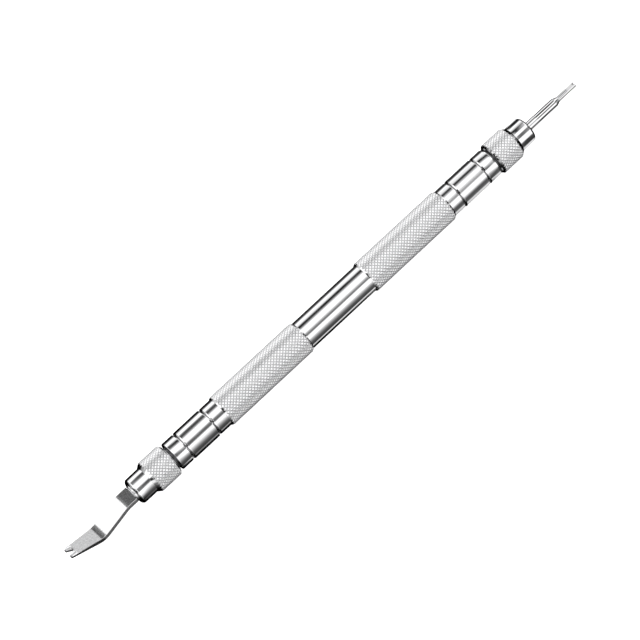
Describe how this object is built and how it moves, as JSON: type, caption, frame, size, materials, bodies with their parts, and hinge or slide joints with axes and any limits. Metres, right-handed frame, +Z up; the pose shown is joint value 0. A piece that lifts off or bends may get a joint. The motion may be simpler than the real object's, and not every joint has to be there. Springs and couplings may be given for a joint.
{
  "type": "spring bar tool",
  "caption": "Slim round steel hand tool with knurled grips and a collet chuck at each end, one holding a wide bent fork and the other a fine fork pin.",
  "frame": {"origin": "middle of the bounding box's bottom, on the surface that the tool lies on", "axes": "+X along the tool from the wide fork to the fine fork, +Z up, +Y to the left when looking along +X"},
  "size_m": [0.1378, 0.0072, 0.0072],
  "materials": {
    "polished_steel": "bright polished steel with fine turning marks",
    "knurled_steel": "bright steel, diamond knurled",
    "collet_steel": "turned tool steel",
    "blade_steel": "ground and lightly polished tool steel"
  },
  "bodies": {
    "handle": {"handle_tube": "polished_steel", "fine_grip_sleeve": "knurled_steel", "wide_grip_sleeve": "knurled_steel", "fine_end_ferrule": "polished_steel", "wide_end_ferrule": "polished_steel", "fine_chuck_body": "polished_steel", "wide_chuck_body": "polished_steel"},
    "fine_collet": {"fine_collet": "collet_steel"},
    "fine_nut": {"fine_clamp_nut": "knurled_steel"},
    "fine_bit": {"fine_fork_bit": "blade_steel"},
    "wide_collet": {"wide_collet": "collet_steel"},
    "wide_nut": {"wide_clamp_nut": "knurled_steel"},
    "wide_bit": {"wide_fork_holder": "blade_steel", "wide_fork_blade": "blade_steel"}
  },
  "joints": [
    {"name": "fine_chuck_advance", "type": "slide", "parent": "handle", "child": "fine_collet", "axis": [1, 0, 0], "range_m": [0, 0.0015]},
    {"name": "fine_nut_turn", "type": "hinge", "parent": "fine_collet", "child": "fine_nut", "pos_m": [0.0486, 0, 0.0036], "axis": [1, 0, 0], "range_deg": [0, 1080]},
    {"name": "fine_bit_pull", "type": "slide", "parent": "fine_collet", "child": "fine_bit", "axis": [1, 0, 0], "range_m": [0, 0.0075]},
    {"name": "wide_chuck_advance", "type": "slide", "parent": "handle", "child": "wide_collet", "axis": [-1, 0, 0], "range_m": [0, 0.0015]},
    {"name": "wide_nut_turn", "type": "hinge", "parent": "wide_collet", "child": "wide_nut", "pos_m": [-0.045, 0, 0.0036], "axis": [-1, 0, 0], "range_deg": [0, 1080]},
    {"name": "wide_bit_pull", "type": "slide", "parent": "wide_collet", "child": "wide_bit", "axis": [-1, 0, 0], "range_m": [0, 0.0075]}
  ],
  "couplings": [
    {"joint": "fine_nut_turn", "follows": "fine_chuck_advance", "rad_per_m": 12566},
    {"joint": "wide_nut_turn", "follows": "wide_chuck_advance", "rad_per_m": 12566}
  ]
}
